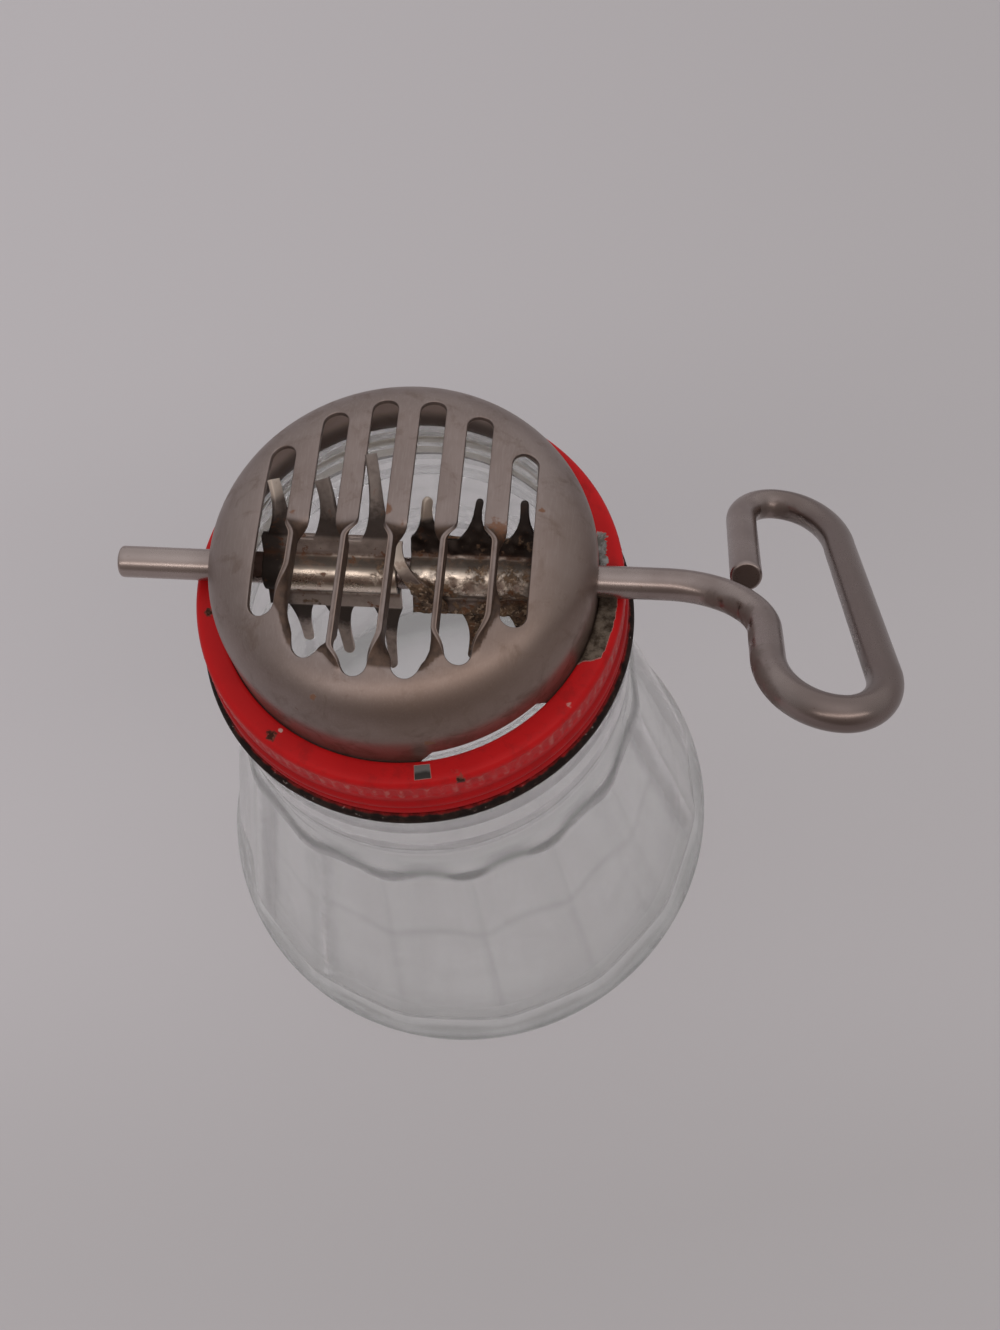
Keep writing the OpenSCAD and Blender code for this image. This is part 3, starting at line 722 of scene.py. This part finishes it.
def buildCrank(form, material):
    form = SimpleNamespace(**form)
    legX = form.bendStart + form.bendR
    tipX, outerX = legX - form.tipShift, legX + form.loopW
    farX = outerX - form.slant  # the outer leg leans in towards its far end
    # how far the loop's bends reach across and along, on the inner leg's side and the outer leg's
    nearA, farA = form.nearInnerR, form.farInnerR
    nearB, farB = form.loopW - nearA, farX - tipX - farA
    nearYA, nearYB = (form.near - long for long in form.nearLong)
    farYA, farYB = (long - form.far for long in form.farLong)

    def quarter(x, y, across, along, start, end):  # a quarter ellipse, without its first point
        return (arcPoints(0, 0, 1.0, start, end, 26) * [across, along] + [x, y])[1:]

    path = join([
        np.linspace((-form.stub, 0.0), (form.bendStart, 0.0), 72),
        arcPoints(form.bendStart, form.bendR, form.bendR, -90, 0, 30)[1:],
        np.linspace((legX, form.bendR), (legX, nearYA), 12)[1:],
        quarter(legX + nearA, nearYA, nearA, form.nearLong[0], 180, 90),
        quarter(outerX - nearB, nearYB, nearB, form.nearLong[1], 90, 0),
        np.linspace((outerX, nearYB), (farX, farYB), 36)[1:],
        quarter(farX - farB, farYB, farB, form.farLong[1], 0, -90),
        quarter(tipX + farA, farYA, farA, form.farLong[0], -90, -180),
        np.linspace((tipX, farYA), (tipX, -form.wireR - form.tipGap), 20)[1:],
    ])
    along = unit(np.gradient(path, axis=0))
    # rings of the rounded ends, pulled in towards the cut faces
    a = np.radians([90.0, 60.0, 30.0, 0.0])
    back = form.endRound * (1.0 - np.sin(a))
    small = form.wireR - form.endRound + form.endRound * np.cos(a)
    head = path[:1] + along[:1] * back[:, None]
    tail = path[-1:] - along[-1:] * back[::-1, None]
    size = join([small, np.full(len(path) - 2, form.wireR), small[::-1]])
    path = join([head, path[1:-1], tail])
    along = join([np.repeat(along[:1], 4, 0), along[1:-1], np.repeat(along[-1:], 4, 0)])
    t = turns(form.around)
    side = np.stack([-along[:, 1], along[:, 0]], 1)
    flat = path[:, None, :] + size[:, None, None] * np.cos(t)[None, :, None] * side[:, None, :]
    lift = size[:, None] * np.sin(t)[None, :]
    x, y = join([flat.reshape(-1, 2), path[[0, -1]]]).T
    z = np.append(lift, [0.0, 0.0])
    points = aboutShaft(x, y, z, form.turn, form.shaftZ)
    table = np.arange(lift.size).reshape(lift.shape)
    cut = np.zeros(len(points))
    cut[table[[0, -1]]] = cut[-2:] = 1.0
    return addPiece("crankRod", points, ringQuads(table), capFans(table), material, "crank", "crank_wire",
                    {"cut": cut})


def drawnWire():
    paint = Paint("drawnWireSteel", {})
    noise, step, fall, mix, fade, larger = paint.tools()
    grain, fine, cloud = noise(1.0, 4.0, 0.6), noise(0.28, 3.0, 0.65), noise(8.0, 4.0, 0.6)
    tint = fade(cloud, 0.35, 0.7, (0.35, 0.288, 0.27), (0.285, 0.228, 0.212))
    tint = mix(step(fine, 0.5, 0.8) * 0.3, tint, (0.4, 0.34, 0.32))
    # painted shade on the loop, darker and browner, and painted light on the stub, brighter
    tint = mix(step(paint.x, 50.0, 57.0) * 0.8, tint, (0.205, 0.16, 0.146))
    tint = mix(fall(paint.x, -34.0, -28.0) * 0.6, tint, (0.46, 0.385, 0.36))
    rust = paint.spots(((62.0, -3.0, 117.0, 1.0), (57.0, 12.0, 104.0, 0.8), (59.4, -25.4, 132.6, 0.8),
                        (29.2, -1.0, 110.6, 0.9), (-29.4, -0.8, 110.7, 0.8)), grain, 0.9)
    # dark stain and painted shade inside the far bend, under the first bend and on the inner leg
    stainAndShade = paint.spots(((53.5, 23.4, 94.4, 1.5), (56.5, 23.6, 94.3, 1.7), (59.5, 23.0, 94.8, 1.6),
                         (62.0, 20.6, 96.8, 1.5), (44.9, -3.5, 115.2, 1.7), (47.4, -5.7, 116.8, 2.1),
                         (49.3, -8.3, 119.5, 2.4), (49.4, -13.0, 122.8, 2.5), (49.6, -18.0, 127.4, 2.7),
                         (50.4, -22.0, 129.9, 2.7), (51.6, -25.0, 131.0, 2.5)), grain, 0.3)
    cut = paint.attribute("cut")
    colour = mix(stainAndShade * 0.6, tint, (0.07, 0.043, 0.033))
    colour = mix(cut * 0.92, colour, (0.05, 0.028, 0.021))
    specks = step(grain, 0.68, 0.74) * step(cloud, 0.48, 0.62)
    colour = mix(specks * 0.5, colour, (0.13, 0.075, 0.05))
    colour = mix(rust * 0.8, colour, (0.21, 0.085, 0.035))
    rough = 0.21 + 0.08 * cloud + 0.06 * fine + 0.25 * larger(rust, stainAndShade)
    metal = 1.0 - 0.7 * larger(rust, stainAndShade * 0.8, cut)
    height = 0.25 * fine + 0.7 * cloud + 0.6 * rust
    return paint.use(colour, rough, metal, None, height, 0.015)


buildCrank(crankForm, drawnWire())


# Blades: a flat blank with three tines along one edge, bent over the shaft. Across the blank the
# section is wing, small round, half channel, small round, wing; each tine follows its own curve.
bladeForm = dict(
    sheet=0.8, shaftZ=112.775, gripR=2.405, seam=0.02, wing=6.0, inner=1.0, outer=21.0,
    pitch=7.05, bendR=0.45, lip=0.15, spacing=0.55, sectionReach=40.0,
    channel=(3.6, 0.6), grime=(1.2, 1.3), endGrime=(17.2, 1.5), wingFrom=(3.4, 0.5),
    seamLine=(3.5, 0.4), crustReach=5.5, crustFade=2.0, crustDeep=0.3, tineRun=6.0, shineFade=0.14,
    tine=dict(shift=0.0, root=5.2, tip=1.5, square=False, twist=0.0, shine=0.0, paleFrom=0.68),
)


def bladeSection(form):
    # the outer face across the blank: distance, height and outward normal along its length
    big, high, fillet = form.gripR + form.sheet, form.seam + form.sheet, form.bendR
    rise = high + fillet
    out = np.sqrt((big + fillet) ** 2 - rise ** 2)
    start = np.degrees(np.arctan2(rise, out))
    a = np.radians(np.linspace(start, 180.0 - start, 40))
    b = np.radians(np.linspace(-90.0, start - 180.0, 10))
    wing = np.linspace(form.sectionReach, out, 12)
    right = join([strip(wing, high, 0.0, 1.0),
                  strip(out + fillet * np.cos(b), rise + fillet * np.sin(b), -np.cos(b), -np.sin(b))[1:]])
    left = right[::-1] * [-1.0, 1.0, -1.0, 1.0]
    arch = strip(big * np.cos(a), big * np.sin(a), np.cos(a), np.sin(a))[1:-1]
    run = join([right, arch, left])[::-1]
    length = arcLength(run)
    return run, length - length[-1] / 2.0


def buildBlade(form, name, node, side, reach, turn, tines, crust, material):
    form = SimpleNamespace(**form)
    run, length = bladeSection(form)
    wingV = np.interp(form.wing, run[:, 0], length)  # arc length at the edge of the wing
    span = np.sort(np.array([form.inner, form.outer]) * side)
    slotX = side * form.pitch * np.array([0.5, 1.5, 2.5])  # the tines stand in the dome's slots
    tines = [SimpleNamespace(**{**form.tine, **tine}) for tine in tines]
    long = reach - form.wing
    # outline: a plain rectangle with the tines along its far edge, wide at their roots
    edge = []
    for x, tine in sorted(zip(slotX, tines), key=lambda pair: pair[0]):
        t = np.linspace(0.0, 1.0, 22)
        x, tipR = x + tine.shift, tine.tip / 2.0
        width = tipR + (tine.root / 2.0 - tipR) * (1.0 - t) ** 3
        up = wingV + (long - (0.0 if tine.square else tipR)) * t
        tip = np.empty((0, 2)) if tine.square else arcPoints(x, up[-1], tipR, 0, 180, 9)[1:-1]
        rightSide = np.stack([np.minimum(x + width, span[1]), up], 1)
        leftSide = np.stack([np.maximum(x - width, span[0]), up], 1)
        edge.append(join([rightSide, tip, leftSide[::-1]])[::-1])
    box = [[span[1], wingV], [span[1], -wingV], [span[0], -wingV], [span[0], wingV]]
    outline = evenLoop(join(edge + [box]), 0.4)
    net = np.stack(np.meshgrid(np.arange(span[0], span[1], form.spacing),
                               np.arange(-wingV, wingV + reach, form.spacing * 0.8)), -1).reshape(-1, 2)
    draw = np.random.default_rng(int(100 * abs(turn)) + int(10 * reach))
    waves = draw.uniform(0.8, 3.4, (7, 3)) * draw.choice([-1.0, 1.0], (7, 3))
    mid = form.seam + form.sheet / 2.0

    def bend(plan, depth):
        x, v = plan.T
        p, q, normP, normQ = (np.interp(v, length, run[:, k]) for k in range(4))
        scale = np.hypot(normP, normQ)
        # crust: lumps on the outer face, from a sum of waves
        lump = sum(np.sin(w[0] * x + w[1] * v + w[2]) for w in waves) / 3.0
        onWing = smooth((wingV + form.crustReach - np.abs(v)) / form.crustFade)
        deep = depth - crust * np.clip(lump, 0.0, 1.0) ** 1.5 * (depth < form.crustDeep) * onWing
        place = np.stack([x, p - deep * normP / scale, q - deep * normQ / scale], 1)
        # a tine's middle line is a Bezier curve of four points; its width turns about that line
        t = ((v - wingV) / long)[:, None]
        for tx, tine in zip(slotX, tines):
            middle = tx + tine.shift
            root = np.array([middle, form.wing, mid])
            c1, c2, c3 = (root + [0, long * (k + 1) / 3.0, 0] + np.array(tine.curve[k]) for k in range(3))
            line = (1 - t) ** 3 * root + 3 * t * (1 - t) ** 2 * c1 + 3 * t * t * (1 - t) * c2 + t ** 3 * c3
            along = unit((1 - t) ** 2 * (c1 - root) + 2 * t * (1 - t) * (c2 - c1) + t * t * (c3 - c2))
            across = unit(np.array([1.0, 0.0, 0.0]) - along[:, :1] * along)
            angle = np.radians(tine.twist) * smooth(t * 1.3)
            across = across * np.cos(angle) + np.cross(along, across) * np.sin(angle)
            outward = np.cross(across, along)
            curved = line + (plan[:, :1] - middle) * across + (form.sheet / 2.0 - deep)[:, None] * outward
            mine = (np.abs(plan[:, :1] - tx) < form.pitch / 2.0) & (t > 0.0)
            place = np.where(mine, curved, place)
        return aboutShaft(*place.T, turn, form.shaftZ)

    points, quads, tris, plan, depth = sheetMetal([outline], net, form.spacing, form.sheet, form.lip, bend)
    x, v = plan.T
    outer = np.clip(1.0 - depth * 3.0, 0.0, 1.0)
    off = np.abs(np.interp(v, length, run[:, 0]))  # distance from the shaft's middle line

    def beyond(value, limits):  # a smooth step from 0 at the first limit, over the second's width
        return smooth((value - limits[0]) / limits[1])

    channel = smooth((form.channel[0] - off) / form.channel[1])
    # painted highlight on the pale ends of some tines, joined to the polished channel
    shine = sum(tine.shine * (np.abs(x - tx) < form.pitch / 2.0)
                * beyond((v - wingV) / long, (tine.paleFrom, form.shineFade))
                for tx, tine in zip(slotX, tines))
    seamAt, seamW = form.seamLine
    return addPiece(name, points, quads, tris, material, "crank", node, {
        "polishAndHighlight": np.maximum(outer * channel, shine),
        "grime": np.maximum(beyond(off, form.grime), 0.9 * beyond(np.abs(x), form.endGrime)) * channel,
        "wing": beyond(off, form.wingFrom),
        "seam": bell(off - seamAt, seamW) * outer,
        "tine": np.clip((v - wingV) / form.tineRun, 0.0, 1.0),
    })


def bladeSteel(name, dirt, tineShade, pale, wingBlack):
    paint = Paint(name, {})
    noise, step, fall, mix, fade, larger = paint.tools()
    grain, fine, cloud = noise(1.1, 4.0, 0.65), noise(0.3, 3.0, 0.65), noise(5.0, 4.0, 0.6)
    polishAndHighlight, tine, grime, wing, seam = map(paint.attribute, ("polishAndHighlight", "tine", "grime", "wing", "seam"))
    tint = fade(cloud, 0.35, 0.7, (0.37, 0.295, 0.26), (0.24, 0.185, 0.155))
    # dull grey film, patchy, on wings and tines
    film = step(tine + wing, 0.0, 0.5) * pale * step(cloud + 0.5 * grain, 0.35, 0.85)
    tint = mix(film, tint, (0.64, 0.54, 0.49))
    # painted shade darkening the tines, black on the far wings, and darker at the tines' roots
    nearSide = fall(paint.y, -3.6, -2.4)
    wingSoot = wing * (wingBlack * (1.0 - 0.8 * nearSide))
    tint = mix(larger(tine * tineShade, wingSoot), tint, (0.03, 0.022, 0.019))
    darkRoots = step(tine, 0.02, 0.15) * fall(tine + 0.6 * (grain - 0.5), 0.5, 1.0) * (0.95 * pale)
    tint = mix(darkRoots, tint, (0.045, 0.031, 0.025))
    # polished channel, with a painted highlight on the pale ends of some tines
    tint = mix(polishAndHighlight, tint, (0.88, 0.75, 0.64))
    # the channel's two sides keep brown grime and painted shade, darker away from the highlight, with a
    # rusty line where the wings begin
    grimeShade = grime * step(cloud + 0.6 * grime, 0.5, 0.8)
    tint = mix(grimeShade * 0.9, tint, fade(grain, 0.45, 0.7, (0.045, 0.03, 0.021), (0.13, 0.07, 0.04)))
    # black at the blades' outer ends: all of the left one, the far half of the right one
    ragged = paint.x + 1.5 * (grain - 0.5)
    rightEnd = step(ragged, 17.4, 18.6) * step(paint.y, -0.6, 0.8)
    ends = larger(fall(ragged, -18.6, -16.8), rightEnd) * (1.0 - tine)
    tint = mix(ends * 0.9, tint, (0.026, 0.017, 0.014))
    # crust in three browns, thicker on the near side, and rust spots
    crust = step(cloud * 0.6 + grain * 0.4 + dirt * (1.0 + nearSide) - 0.25 * tine, 0.6, 0.7)
    brown = fade(grain, 0.35, 0.65, (0.042, 0.024, 0.015), (0.27, 0.175, 0.11))
    brown = fade(noise(0.7, 2.0), 0.56, 0.66, brown, (0.5, 0.37, 0.26))
    rust = step(noise(2.2, 4.0, 0.7) + 0.3 * dirt, 0.61, 0.68) * (1.0 - 0.6 * tine) * (1.0 - 0.8 * wingSoot)
    seam = seam * step(cloud + 0.5 * grain, 0.62, 0.78)
    colour = mix(seam * 0.85, mix(crust, tint, brown), (0.12, 0.045, 0.02))
    colour = mix(rust * 0.85, colour, (0.2, 0.075, 0.03))
    gone = larger(crust, rust, seam, tine * (0.8 * tineShade), darkRoots, grimeShade * 0.7, ends)
    rough = 0.4 + 0.12 * cloud + 0.1 * fine + 0.25 * gone - 0.22 * (polishAndHighlight * (1.0 - gone))
    height = 0.3 * fine + 1.4 * grain * crust + 0.4 * cloud
    return paint.use(colour, rough, 1.0 - larger(0.85 * gone, 0.5 * film), None, height, 0.1)


rubbed = bladeSteel("rubbedBladeSteel", 0.0, 0.0, 1.0, 0.0)
smoked = bladeSteel("smokedBladeSteel", 0.03, 0.6, 0.9, 0.05)
dark = bladeSteel("darkBladeSteel", 0.1, 0.9, 0.0, 0.92)
crusted = bladeSteel("crustedBladeSteel", 0.2, 0.2, 0.0, 0.15)
# each tine's curve: how far its three later points are moved across, along and out of the blank
straight = dict(curve=((0, 0, 0), (0, 0, 0), (0, 0, 0)), tip=1.2)
buildBlade(bladeForm, "leftUpperBlade", "left_upper_blade", -1, 15.2, 62.0, (
    dict(curve=((0, 0, 0.3), (0.0, 0.8, -1.6), (-1.1, 2.6, -4.4)), twist=25, tip=1.7, square=True),
    dict(curve=((0, 0, 0.3), (0.6, 0.0, 0.6), (-0.7, 0.2, -1.0)), twist=-20, tip=2.3, square=True),
    dict(curve=((0, 0, 0.6), (0.4, 0.2, 1.0), (-0.7, 0.0, -0.8)), twist=60, tip=1.9, square=True,
         shine=0.6),
), 0.0, smoked)
buildBlade(bladeForm, "leftLowerBlade", "left_lower_blade", -1, 15.2, 242.0, (
    dict(curve=((0, 0, -0.6), (0.4, 0.0, -2.0), (0.65, 0.3, -3.6)), shift=0.5, tip=1.4),
    dict(curve=((0, 0, 0), (0.6, 0.0, -0.3), (1.0, 0.0, -0.6)), tip=1.7),
    dict(curve=((0, 0, 0.4), (0.0, 0.0, 1.4), (-0.1, 0.0, 2.4)), shift=1.1, root=4.4, tip=1.6),
), 0.0, rubbed)
buildBlade(bladeForm, "rightUpperBlade", "right_upper_blade", 1, 12.4, 52.0, (
    dict(curve=((0, 0, 0), (-0.3, 0.0, 0.6), (0.3, 0.2, 0.4)), twist=40, tip=1.5, shine=0.8,
         paleFrom=0.45),
    dict(curve=((0, 0, 0), (0.2, 0.0, 0.0), (0.7, 0.0, 0.0)), tip=1.1),
    straight,
), 0.3, dark)
buildBlade(bladeForm, "rightLowerBlade", "right_lower_blade", 1, 14.4, 232.0, (
    dict(curve=((3.4, -6.2, -4.2), (-4.6, -13.4, -7.3), (-4.5, -20.0, -1.7)), tip=1.8, square=True,
         shine=0.7),
    dict(curve=((0, 0, 0), (-0.6, 0.0, 0.5), (-1.0, 0.0, 1.0)), tip=1.6),
    straight,
), 0.55, crusted)


# Stage: a pale floor a hair under the foot with a painted fall-off of light, soft light in front and a
# camera in millimetres
stageForm = dict(
    eye=(35.36, -98.619, 309.522), right=(0.994426, 0.081108, -0.06737),
    down=(0.047692, -0.915862, -0.39865), forward=(-0.094036, 0.393215, -0.914625),
    focalPixels=1500.0, imageHeight=1330.0, sensor=36.0, clip=0.005,
    floor=(0.665, 0.64, 0.664), dullFloor=(0.545, 0.524, 0.537), floorZ=-0.03, floorReach=3.0,
    dullMiddle=0.37, dullPerMm=0.0026, dullFront=0.6, frontY=(-100.0, -20.0),
    windowAt=(0.15, -0.62, 1.05), windowAim=(0.0, 0.0, 0.1), windowSize=(2.6, 0.22),
    windowWatts=3.6, windowTint=(1.0, 0.955, 0.91), walls=0.42, back=0.22, ceiling=0.42,
    frontTint=(1.0, 0.86, 0.8), backTint=(1.0, 0.99, 1.0),
)


def buildStage(form):
    form = SimpleNamespace(**form)
    scene = bpy.context.scene

    def put(name, data, axes, at):  # an object with the given axes as columns, in metres
        made = bpy.data.objects.new(name, data)
        rows = [(*row, where) for row, where in zip(np.array(axes).T, at)]
        made.matrix_world = Matrix(rows + [(0, 0, 0, 1)])
        scene.collection.objects.link(made)
        return made

    lens = bpy.data.cameras.new("photoCamera")
    lens.sensor_fit = "VERTICAL"
    lens.sensor_height = form.sensor
    lens.lens = form.sensor * form.focalPixels / form.imageHeight
    lens.clip_start = form.clip
    axes = [form.right, -np.array(form.down), -np.array(form.forward)]
    scene.camera = put("photoCamera", lens, axes, np.array(form.eye) * mm)

    mesh = bpy.data.meshes.new("paleFloor")
    sides = ((-1, -1), (1, -1), (1, 1), (-1, 1))
    mesh.from_pydata([(x * form.floorReach, y * form.floorReach, form.floorZ * mm) for x, y in sides],
                     [], [(0, 1, 2, 3)])
    paint = Paint("paleFloor", {"Roughness": 0.7, "Specular IOR Level": 0.2})
    # painted light fall-off: paler at the left and darker in front, as the room's light falls off
    dullAndShade = form.dullMiddle + form.dullPerMm * paint.x + form.dullFront * paint.fall(paint.y, *form.frontY)
    mesh.materials.append(paint.use(paint.mix(dullAndShade, form.floor, form.dullFloor)))
    floor = put("paleFloor", mesh, np.eye(3), (0, 0, 0))

    light = bpy.data.lights.new("longWindow", "AREA")
    light.shape = "RECTANGLE"
    light.size, light.size_y = form.windowSize
    light.energy, light.color = form.windowWatts, form.windowTint
    away = unit(np.subtract(form.windowAt, form.windowAim))
    across = unit(np.cross((0.0, 0.0, 1.0), away))
    put("longWindow", light, [across, np.cross(away, across), away], form.windowAt)

    world = bpy.data.worlds.new("softRoom")
    world.use_nodes = True
    ground = world.node_tree.nodes["Background"]
    # the room: level = walls + back * (direction's y) + ceiling * (direction's z) ^ 4, warmer in front
    room = Board(world.node_tree)
    x, y, z = room.split(room.node("TexCoord", {}, {}, "Generated"))
    level = form.walls + form.back * y + form.ceiling * room.larger(z, 0.0) ** 4.0
    room.tree.links.new(level.socket, ground.inputs["Strength"])
    tint = room.fade(y, -1.0, 0.1, form.frontTint, form.backTint)
    room.tree.links.new(tint.socket, ground.inputs["Color"])
    scene.world = world
    scene.view_settings.view_transform = "Standard"
    print("stage: camera, floor and light")


buildStage(stageForm)
